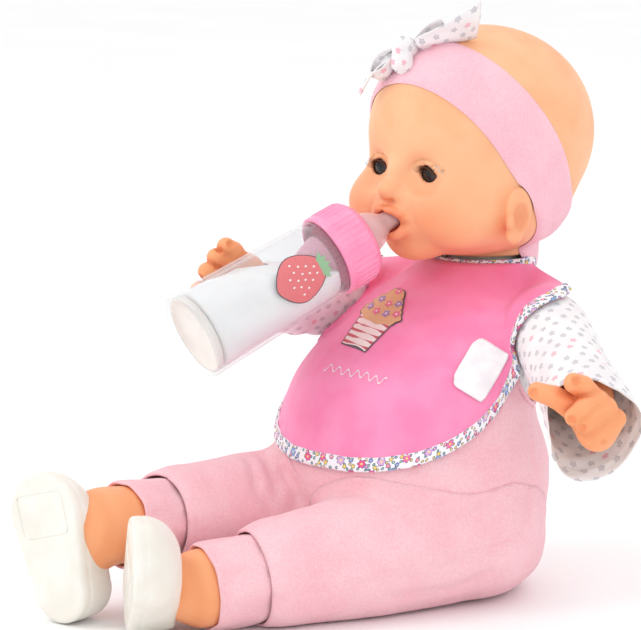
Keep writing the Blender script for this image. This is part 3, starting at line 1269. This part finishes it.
def make_foot(side):
    body = "leg_" + side
    field = shin_field(side)
    heel = np.array(HEEL_AT[side])
    hip = np.array(HIP[side])
    near = hip + leg_axis(side) * 78
    low = np.minimum(near, heel) - 26
    high = np.maximum(near, heel) + (26, 26, 40)
    low[2] = -1
    points, faces = net(field, low, high, 1.5)
    piece("lower_leg_skin_" + side, points, faces, LIMB_SKIN, body, paint=crease_paint(field, points, 3.0),
          slot="vinyl_skin", replaces=["lower_leg_" + side])
    field = shoe_field(side)
    reach = np.array((62, 62, 70.0))
    low, high = heel - reach, heel + reach
    low[2] = -1
    points, faces = net(field, low, high, 1.1)
    piece("shoe_vinyl_" + side, points, faces, SHOE, body, slot="shoe_vinyl", replaces=["shoe_" + side])
    frame_line = [(x, y, 0.0) for x, y in rectangle(14.5, 27, 48, 14)]
    tube_on("sole_frame_" + side, out_of_shoe(frame_line, side), 0.42, None, SHOE, body, "shoe_vinyl", closed=True)


# ---- bottle ----------------------------------------------------------------------------------------------
def smooth_profile(rows, count):
    made = table([(k, r, t) for k, (r, t) in enumerate(rows)], 0.1)
    return np.stack(read(made, np.linspace(0, len(rows) - 1, count)), 1)


def make_bottle():
    def part(name, profile, material, slot, replaces=(), bulge=None, segments=120):
        profile = list(map(tuple, profile))
        profile.append(profile[0])
        points, faces = revolve(profile, MOUTH, BOTTLE_AXIS, segments, bulge)
        points, faces = weld(points, faces)
        piece(name, points, faces[:, ::-1], material, "bottle", slot=slot, replaces=replaces)

    part("bottle_wall", [(16.9, 34.2), (18.2, 34.2), (18.3, 37.6), (18.9, 38.4), (19.7, 39.0), (20.0, 40.5),
                         (20.6, 58), (21.2, 78), (21.8, 98), (22.25, 112), (22.4, 115.5), (22.3, 117.6),
                         (21.9, 118.6), (21.3, 118.95), (20.8, 118.4), (20.7, 116.8), (20.75, 112), (20.2, 98),
                         (19.6, 78), (19.0, 58), (18.4, 41), (17.2, 39.2), (16.8, 37.5)],
         CLEAR, "bottle_clear", ["bottle_shell"])
    points, faces = revolve([(0.3, 113.6), (14, 113.6), (19.6, 113.4), (20.35, 114.4), (20.3, 116.0), (19.8, 116.9),
                             (18.6, 116.6), (17.8, 115.9), (12, 115.4), (0.3, 115.2)], MOUTH, BOTTLE_AXIS, 96)
    piece("bottle_base", points, closed_ends(96, 10, faces), BASE, "bottle", slot="bottle_clear",
          replaces=["bottle_base_plug"])

    points, faces = revolve([(0.4, 41.6), (8, 41.4), (16.8, 41.8), (17.9, 43), (18.5, 58), (19.1, 78), (19.7, 98),
                             (20.2, 109), (20.0, 111.4), (18.5, 112.4), (8, 112.6), (0.4, 112.6)],
                            MOUTH, BOTTLE_AXIS, 120)
    surface = 163.5 + 0.25 * np.sin(points[:, 1] * 0.25)
    points[:, 2] = np.minimum(points[:, 2], surface)
    piece("bottle_milk_fill", points, closed_ends(120, 12, faces), MILK, "bottle", slot="bottle_milk_white",
          replaces=["bottle_milk", "bottle_inner_tube"])
    part("bottle_funnel", [(12.8, 39.5), (12.4, 41), (10.2, 48), (7.0, 56), (5.2, 60), (5.0, 64), (4.2, 64),
                           (4.3, 60), (6.2, 55.6), (9.4, 47.4), (11.6, 41)], FUNNEL, "cap_pink")

    def ribs(t, angle):
        phase = angle * 42 / (2 * math.pi)
        group = np.floor(phase) % 7
        ridge = np.exp(-((phase - np.floor(phase) - 0.5) / 0.13) ** 2)
        return 0.5 * ridge * (group > 0) * step(20.2, 21.6, t) * step(34.6, 33.6, t)

    rows = [(10.8, 20.6), (10.8, 18.0), (11.2, 17.4), (13.6, 17.1), (16.2, 17.2), (17.6, 17.7), (18.8, 18.8),
            (19.9, 20.2), (20.35, 21.2), (20.5, 22.5), (20.6, 26), (20.7, 30), (20.75, 33.2), (20.8, 34.6),
            (20.95, 35.6), (20.95, 37.0), (20.7, 37.8), (20.1, 38.1), (19.2, 38.0), (18.7, 37.2), (18.6, 30),
            (18.5, 22.5), (17.0, 20.9)]
    part("bottle_cap", rows, CAP, "cap_pink", ["bottle_cap_ring"], ribs, 648)
    dome = smooth_profile([(3.6, -6.0), (4.3, -5.9), (4.6, -4.6), (4.7, -2), (4.8, 1.0), (5.1, 3.0), (6.3, 5.2),
                           (8.4, 8.0), (9.9, 11.4), (10.4, 15.0), (10.5, 19.4), (16.8, 19.9), (17.0, 20.4),
                           (16.6, 20.9), (9.4, 20.8), (9.3, 15.6), (8.7, 11.8), (7.2, 8.8), (5.2, 6.2), (4.0, 3.8),
                           (3.7, 1.0), (3.4, -3.6), (3.1, -5.2)], 110)
    part("bottle_teat", dome, NIPPLE, "nipple_silicone", ["bottle_nipple"], segments=96)


def closed_ends(segments, rows, faces):
    j = list(range(segments))
    return [list(f) for f in faces[:, ::-1]] + [j] + [[(rows - 1) * segments + k for k in j][::-1]]


def weld(points, faces):
    """Join the last ring of a turned shape to its first."""
    rounded = np.round(points, 5)
    _, first, index = np.unique(rounded, axis=0, return_index=True, return_inverse=True)
    return points[first], index.reshape(-1)[faces]


# ---- flat prints laid on a curved surface ----------------------------------------------------------------
def fill(outline, spacing):
    """Triangles inside a closed outline, with extra points inside so that it can bend."""
    from mathutils.geometry import delaunay_2d_cdt
    outline = np.array(outline, float)
    low, high = outline.min(0), outline.max(0)
    xs, ys = np.meshgrid(np.arange(low[0] + spacing / 2, high[0], spacing),
                         np.arange(low[1] + spacing / 2, high[1], spacing))
    inner = np.stack([xs.ravel(), ys.ravel()], 1)
    every = [Vector(p) for p in np.r_[outline, inner]]
    n = len(outline)
    found = delaunay_2d_cdt(every, [(k, (k + 1) % n) for k in range(n)], [], 1, 1e-5)
    return np.array([list(v) for v in found[0]]), [list(f) for f in found[2]]


def decal(name, outlines, place, material, body, spacing=1.4):
    points, faces = [], []
    for outline in outlines:
        flat, triangles = fill(outline, spacing)
        base = sum(len(p) for p in points)
        points.append(place(flat))
        faces += [[base + k for k in f] for f in triangles]
    piece(name, np.concatenate(points), faces, material, body)


def blob(x, y, rx, ry, count, wobble=0.0, petals=5):
    a = round_angles(count)
    r = 1 + wobble * np.cos(petals * a)
    return np.stack([x + rx * r * np.cos(a), y + ry * r * np.sin(a)], 1)


def ring_outline(outer, grow):
    """Outline made larger on every side."""
    centre = outer.mean(0)
    away = outer - centre
    return centre + away * (1 + grow / np.maximum(np.linalg.norm(away, axis=1), 1e-6))[:, None]


def ink(name, *colour):
    base = srgb(*colour)
    return plain("print_" + name, base, tuple(c * 0.93 for c in base[:3]) + (1.0,), 0.55, 0.8, 0.03, 3.0)


INK = ink("outline", 104, 92, 98)
BERRY = ink("berry", 226, 120, 124)
BERRY_DOT = ink("dot", 252, 236, 232)
LEAF = ink("leaf", 150, 190, 150)
CREAM = ink("cream", 232, 184, 138)
CUP_WHITE = ink("white", 252, 240, 238)
CUP_RED = ink("red", 208, 96, 108)
LILAC = ink("lilac", 170, 140, 200)
ROSE = ink("rose", 238, 120, 160)


def berry_outline(cx, cy, scale):
    a = np.linspace(0, 2 * math.pi, 44, endpoint=False)
    x = 0.86 * np.sin(a) * (1 - 0.16 * np.cos(a))
    y = np.cos(a) * (1.0 - 0.08 * np.abs(np.sin(a)))
    pull = np.clip(-y, 0, 1) ** 1.5
    return np.stack([cx + scale * x * (1 - 0.38 * pull), cy + scale * y], 1)


def make_bottle_print():
    axis = unit(BOTTLE_AXIS)
    eye_way = np.array(view_back)
    out = unit(eye_way - axis * (eye_way @ axis))
    side = np.cross(axis, out)

    def place(lift):
        def onto(flat):
            flat = flat * 1.22
            t = 62.5 - flat[:, 1]
            radius = np.interp(t, [40, 115], [20.0, 22.35]) + lift
            turn_by = (flat[:, 0] - 3.0) / 21.0
            return (MOUTH + t[:, None] * axis + (radius * np.cos(turn_by))[:, None] * out
                    + (radius * np.sin(turn_by))[:, None] * side)
        return onto

    berry = berry_outline(0, 0, 11.5)
    decal("bottle_print_line", [ring_outline(berry, 0.45)], place(0.10), INK, "bottle")
    decal("bottle_print_berry", [berry], place(0.16), BERRY, "bottle")
    random = np.random.RandomState(4)
    dots = []
    for row in range(7):
        for column in range(6):
            x, y = -8 + column * 3.2 + (row % 2) * 1.6, 7 - row * 2.9
            if np.hypot(x / 8.4, y / 10) < 0.82 - 0.25 * (y < -3):
                dots.append(blob(x + random.uniform(-0.3, 0.3), y, 0.42, 0.55, 8))
    decal("bottle_print_dots", dots, place(0.22), BERRY_DOT, "bottle")
    leaves = []
    for k in range(5):
        a = math.radians(-64 + 32 * k)
        tip = np.array((6.6 * math.sin(a), 10.0 + 4.2 * math.cos(a)))
        wide = np.array((math.cos(a), -math.sin(a))) * 1.5
        root = np.array((0.0, 9.2))
        middle = (tip + root) / 2
        leaves.append(np.array([root, middle + wide, tip, middle - wide]))
    decal("bottle_print_leaf", leaves, place(0.24), LEAF, "bottle")


# ---- bib -------------------------------------------------------------------------------------------------
BIB_EDGE = [(3, -71, 69.5), (21, -67.5, 69.5), (37, -59, 71.5), (49, -48, 75.5), (57, -32, 83), (61, -17, 94),
            (62.5, -3, 107), (64, 9, 121.5), (67, 21, 137), (68, 34, 152)]
BIB_LINES, BIB_ROWS = 181, 72
LABEL_AT = (50.5, -13.2, 115.9)


def bib_body(p):
    d = smin(torso_field(p, 0.2), leg_field(p, "left"), 8)
    d = smin(d, leg_field(p, "right"), 8)
    for side in SIDES:
        at = np.array(SHOULDER[side], float)
        d = smin(d, limb(p, at, at + unit(ARM_TOWARDS[side]) * 60, 20.8, 20.8), 5)
    return d


def bib_shape():
    """Grid of points from the neck line (first row) to the outer edge, right shoulder to left shoulder."""
    share = np.linspace(-1, 1, BIB_LINES)
    edge_table = table([(k, *p) for k, p in enumerate(BIB_EDGE)], 0.05)
    length = lengths(edge_table[1])
    knot = np.interp(np.abs(share) * length[-1], length, edge_table[0])
    edge = np.stack(read(edge_table, knot), 1)
    edge[:, 0] = np.where(share < 0, -edge[:, 0] * 0.97 + 4 * (1 + share), edge[:, 0])
    angle = share * math.radians(104)
    neck = np.stack([26.2 * np.sin(angle), 46 - 26.2 * np.cos(angle), 156.2 - 1.2 * np.cos(angle)], 1)
    f = np.linspace(0, 1, BIB_ROWS)[:, None, None]
    grid = neck[None] * (1 - f) + edge[None] * f
    for turn_count in range(260):
        middle = grid.copy()
        middle[1:-1, 1:-1] = (grid[:-2, 1:-1] + grid[2:, 1:-1] + grid[1:-1, :-2] + grid[1:-1, 2:]) / 4
        middle[1:-1, 0] = (grid[:-2, 0] + grid[2:, 0]) / 2
        middle[1:-1, -1] = (grid[:-2, -1] + grid[2:, -1]) / 2
        grid = middle
        if turn_count % 4 == 3:
            flat = grid.reshape(-1, 3)
            d = bib_body(flat) - 1.5
            low = d < 0
            g = gradient(bib_body, flat[low])
            flat[low] -= g * (d[low] / np.maximum((g * g).sum(1), 0.1))[:, None]
            grid = flat.reshape(grid.shape)
    return grid


def bib_wrinkle(grid):
    """Soft diagonal pulls from the shoulders and small puckers beside the binding."""
    flat = grid.reshape(-1, 3)
    lines = [([(58, 22, 138), (40, -25, 118), (14, -52, 100)], -1.0, 5.0),
             ([(60, 5, 118), (44, -34, 104), (22, -56, 92)], -0.9, 4.0),
             ([(62, 24, 146), (36, 2, 138), (12, -22, 130)], -0.8, 5.0),
             ([(-58, 18, 130), (-42, -26, 112), (-22, -54, 92)], -0.9, 5.0),
             ([(-14, 6, 150), (-20, -30, 128), (-22, -52, 108)], -0.6, 5.0),
             ([(30, -58, 84), (12, -66, 84), (-10, -66, 84)], -0.5, 4.0)]
    total = 0.25 * waves(flat, 34, 31)
    for line, depth, width in lines:
        total = total + depth * np.exp(-(line_distance(flat, line) / width) ** 2)
    return total.reshape(grid.shape[:2])


def grid_normals(grid):
    down = np.gradient(grid, axis=0)
    along = np.gradient(grid, axis=1)
    normal = np.cross(down, along)
    return normal / np.maximum(np.linalg.norm(normal, axis=-1), 1e-9)[..., None]


def make_bib():
    grid = bib_shape()
    normal = grid_normals(grid)
    if (normal[40, 90] @ (0, -1, 0)) < 0:
        normal = -normal
    wrinkle = bib_wrinkle(grid)
    from_edge = np.linalg.norm(np.diff(grid, axis=0), axis=2)
    from_edge = np.r_[np.cumsum(from_edge[::-1], axis=0)[::-1], np.zeros((1, BIB_LINES))]
    column = np.arange(BIB_LINES)
    pucker = 0.3 * np.sin(column * 0.9)[None, :] * np.exp(-((from_edge - 9) / 3.0) ** 2)
    calm = step(0, 8, from_edge)
    grid = grid + normal * ((np.maximum(-wrinkle, -0.3) * calm) + pucker + 0.3)[..., None]
    arc = lengths(grid[-1])
    uv = uv_of(arc, from_edge)
    cloth = piece("bib_satin_panel", grid.reshape(-1, 3), sheet_faces(BIB_ROWS, BIB_LINES, False, True), SATIN,
                  "torso", uv=uv, slot="bib_satin", replaces=["bib_panel"])
    thicken(cloth, SATIN_THICK)

    def at(line, inward, lift):
        """Point on the bib a distance in from the outer edge, raised from the cloth."""
        row = np.interp(inward, from_edge[::-1, line], np.arange(BIB_ROWS)[::-1])
        low = int(min(row, BIB_ROWS - 2))
        f = row - low
        spot = grid[low, line] * (1 - f) + grid[low + 1, line] * f
        n = normal[low, line] * (1 - f) + normal[low + 1, line] * f
        if inward < 0:
            way = unit(grid[-1, line] - grid[-3, line])
            spot = grid[-1, line] - way * inward
        return spot + unit(n) * lift

    section = [(6.6, 0.1), (6.55, 0.75), (6.2, 1.0), (5.0, 1.05), (3.2, 1.1), (1.4, 1.05), (0.2, 0.95), (-0.45, 0.55),
               (-0.6, -0.1), (-0.3, -0.75), (0.8, -1.0), (3.0, -1.0)]
    rows = []
    for inward, lift in section:
        rows.append([at(line, inward + 0.12 * math.sin(line * 0.7), lift + 0.12 * math.sin(line * 0.9))
                     for line in range(BIB_LINES)])
    rows = np.array(rows)
    width = lengths(section)
    uv = uv_of(arc[None, :], width[:, None])
    trim_piece = piece("bib_binding", rows.reshape(-1, 3), sheet_faces(len(section), BIB_LINES, False, False),
                       FLORAL, "torso", uv=uv, slot="bib_floral", replaces=["bib_trim"])

    stitches = []
    for line in np.arange(2, BIB_LINES - 3, 2):
        stitches.append((at(int(line), 5.7, 1.12), at(int(line) + 1, 5.7, 1.12)))
    dashes("bib_binding_stitches", stitches, 0.17)

    size = (20, 26)
    u, v = np.meshgrid(np.linspace(-1, 1, size[0]), np.linspace(-1, 1, size[1]), indexing="ij")
    flat_label = np.stack([9.4 * u * (1 - 0.1 * np.abs(v) ** 8), 13.4 * v * (1 - 0.22 * np.clip(-u, 0, 1) ** 8)], -1)
    toward = np.array(view_back)
    label_grid = onto_bib(grid, LABEL_AT, toward, 0.0, -0.553)(flat_label.reshape(-1, 2))
    lift = 0.9 + 0.9 * (0.5 - 0.5 * u) + 0.2 * np.sin(3 * v + 1)
    label_grid = label_grid + toward * lift.reshape(-1, 1)
    label = piece("bib_side_label", label_grid, sheet_faces(*size), TAPE, "torso", slot="bib_label_tape",
                  replaces=["bib_label"])
    thicken(label, 0.7, 0.0)

    angle = round_angles(140)
    band_rows = []
    for r, z in [(25.2, 152.4), (26.3, 152.6), (26.8, 154.5), (26.8, 157), (26.7, 159.4), (26.1, 160.8), (25.2, 160.6),
                 (25.0, 157.5), (25.0, 155)]:
        wave = 0.25 * np.sin(7 * angle + 1) + 0.15 * np.sin(12 * angle)
        band_rows.append(np.stack([(r + 0.4 * wave) * np.sin(angle), 46 - (r + 0.4 * wave) * np.cos(angle),
                                   z + 0.4 * wave], 1))
    band_rows = np.array(band_rows)
    uv = uv_of(angle[None, :] * 26, np.arange(9)[:, None] * 1.7)
    neck = piece("bib_neck_binding", band_rows.reshape(-1, 3), sheet_faces(9, 140, True), FLORAL, "torso", uv=uv,
                 slot="bib_floral", replaces=["bib_neck_band"])
    make_bib_print(grid)


def dashes(name, pairs, radius):
    points, faces = [], []
    for a, b in pairs:
        side, up, _ = basis(b - a, (0.1, 0.3, 1))
        base = len(points)
        for spot, size in ((a, 0.5), (a + (b - a) * 0.25, 1.0), (a + (b - a) * 0.75, 1.0), (b, 0.5)):
            for k in range(6):
                turn_by = k * math.pi / 3
                points.append(spot + radius * size * (math.cos(turn_by) * side + math.sin(turn_by) * up))
        for n in range(3):
            for k in range(6):
                j = (k + 1) % 6
                faces.append([base + n * 6 + k, base + n * 6 + j, base + n * 6 + 6 + j, base + n * 6 + 6 + k])
        faces.append([base + k for k in range(6)][::-1])
        faces.append([base + 18 + k for k in range(6)])
    piece(name, np.array(points), faces, STITCH, "torso")


def onto_bib(grid, centre, out, lift, tilt):
    """Function that lays flat (right, up) points on the bib, looking at it against the way out."""
    from mathutils.bvhtree import BVHTree
    tree = BVHTree.FromPolygons([tuple(p) for p in grid.reshape(-1, 3)],
                                [tuple(map(int, f)) for f in sheet_faces(BIB_ROWS, BIB_LINES)])
    out = unit(out)
    right = unit(np.cross((0, 0, 1), out))
    up = np.cross(out, right)
    right, up = (right * math.cos(tilt) + up * math.sin(tilt), up * math.cos(tilt) - right * math.sin(tilt))

    def onto(flat):
        result = []
        for x, y in flat:
            start = np.array(centre) + right * x + up * y + out * 40
            spot, n, _, _ = tree.ray_cast(Vector(start), Vector(-out))
            spot = start - out * 40 if spot is None else np.array(spot)
            n = out if n is None else unit(n)
            n = n if n @ out > 0 else -n
            result.append(spot + n * (lift + 0.12))
        return np.array(result)
    return onto


def make_bib_print(grid):
    """Cupcake print and a wavy stitched line under it."""
    middle, out = (-10.4, -21.5, 131.5), (0.45, -0.78, 0.40)

    def at(lift):
        onto = onto_bib(grid, middle, out, lift, -0.42)
        return lambda flat: onto(flat * 1.6)

    cup = np.array([(-6.6, 1.5), (6.6, 1.5), (5.0, -10.5), (-5.0, -10.5)], float)
    top = blob(0, 3.6, 8.2, 4.2, 40, 0.05, 9)
    swirl = blob(-0.2, 7.2, 6.0, 3.8, 36, 0.05, 8)
    peak = blob(0.1, 10.6, 3.4, 3.0, 24, 0.04, 6)
    decal("bib_print_line", [ring_outline(cup, 0.5), ring_outline(top, 0.45), ring_outline(swirl, 0.45),
                             ring_outline(peak, 0.45)], at(0.32), INK, "torso")
    decal("bib_print_cup", [cup], at(0.40), CUP_WHITE, "torso")
    stripes = []
    for k in range(5):
        y = 0.4 - k * 2.35
        half = 6.6 - (1.5 - y) * 0.133
        low = 6.6 - (1.5 - y + 1.05) * 0.133
        stripes.append(np.array([(-half, y), (half, y), (low, y - 1.05), (-low, y - 1.05)]))
    decal("bib_print_stripes", stripes, at(0.47), CUP_RED, "torso")
    decal("bib_print_cake", [top], at(0.48), CREAM, "torso")
    decal("bib_print_swirl", [swirl], at(0.54), CREAM, "torso")
    decal("bib_print_peak", [peak], at(0.60), CREAM, "torso")
    spots = [(-5.4, 4.6), (-1.8, 3.6), (2.2, 3.8), (5.8, 4.8), (-3.4, 8.2), (0.4, 7.4), (3.8, 8.4), (0.2, 12.6)]
    decal("bib_print_flowers_a", [blob(x, y, 1.2, 1.2, 25, 0.28, 5) for x, y in spots[::2]], at(0.68), LILAC, "torso")
    decal("bib_print_flowers_b", [blob(x, y, 1.2, 1.2, 25, 0.28, 5) for x, y in spots[1::2]], at(0.68), ROSE,
          "torso")
    decal("bib_print_hearts", [blob(x, y, 0.38, 0.38, 8) for x, y in spots], at(0.74), CUP_WHITE, "torso")
    xs = np.linspace(-17.0, 17.0, 110)
    wave = 1.7 * np.sin(xs * 1.25) + 0.4 * np.sin(xs * 0.37)
    band = np.r_[np.stack([xs, wave + 0.42], 1), np.stack([xs, wave - 0.42], 1)[::-1]]
    under = onto_bib(grid, (-3.1, -41.4, 108.2), (0.55, -0.76, 0.30), 0.4, -0.25)
    decal("bib_print_wave", [band], under, STITCH, "torso", 3.0)


# ---- CAD pieces that keep their shape --------------------------------------------------------------------
KEPT = {
    MODULE: ["module_front_shell", "module_rear_shell", "battery_cover"],
    SWITCH: ["power_switch_knob", "tummy_button", "mouth_switch_plunger"],
    BOARD: ["circuit_board"], PAPER: ["speaker"], CELL: ["batteries"],
    METAL: ["battery_contacts", "module_screws", "eye_weight_left", "eye_weight_right"],
    NYLON: ["neck_plug", "neck_tie", "arm_tie_left", "arm_tie_right", "leg_tie_left", "leg_tie_right",
            "eye_cup_left", "eye_cup_right", "mouth_switch_housing"],
    WEAVE: ["torso_body", "upper_arm_left", "upper_arm_right", "thigh_left", "thigh_right"],
    LOOPS: ["bib_fastener"],
}


def dress_kept():
    for material, names in KEPT.items():
        for name in names:
            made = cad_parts[name]
            made.data.materials.clear()
            made.data.materials.append(material)


# ---- stage -----------------------------------------------------------------------------------------------
def area_light(name, place, size, power):
    light = bpy.data.objects.new(name, bpy.data.lights.new(name, "AREA"))
    light.data.size = size
    light.data.energy = power
    light.location = place
    light.rotation_euler = (Vector((0, -0.03, 0.13)) - Vector(place)).to_track_quat("-Z", "Y").to_euler()
    bpy.context.scene.collection.objects.link(light)


def make_stage():
    mesh = bpy.data.meshes.new("floor")
    mesh.from_pydata([(-6, -6, 0), (6, -6, 0), (6, 6, 0), (-6, 6, 0)], [], [(0, 1, 2, 3)])
    floor = bpy.data.objects.new("floor", mesh)
    mesh.materials.append(plain("floor_paper", srgb(252, 252, 252), srgb(250, 250, 250), 0.9, 0.01, 0.0, 0.1))
    bpy.context.scene.collection.objects.link(floor)
    world = bpy.data.worlds.new("studio")
    world.use_nodes = True
    world.node_tree.nodes["Background"].inputs[0].default_value = (1, 1, 1, 1)
    world.node_tree.nodes["Background"].inputs[1].default_value = 1.0
    bpy.context.scene.world = world
    area_light("key", (-0.9, -1.3, 1.5), 0.9, 8.5)
    area_light("fill", (1.5, -0.9, 0.8), 1.2, 1.2)
    area_light("top", (0.2, 0.5, 1.7), 1.2, 2.5)
    bpy.context.scene.view_settings.view_transform = "Standard"


make_head()
make_headband()
make_bow()
make_romper()
make_shirt()
for each in SIDES:
    make_trousers(each)
    make_sleeve(each)
    make_hand(each)
    make_foot(each)
make_bottle()
make_bottle_print()
make_bib()
dress_kept()
make_stage()
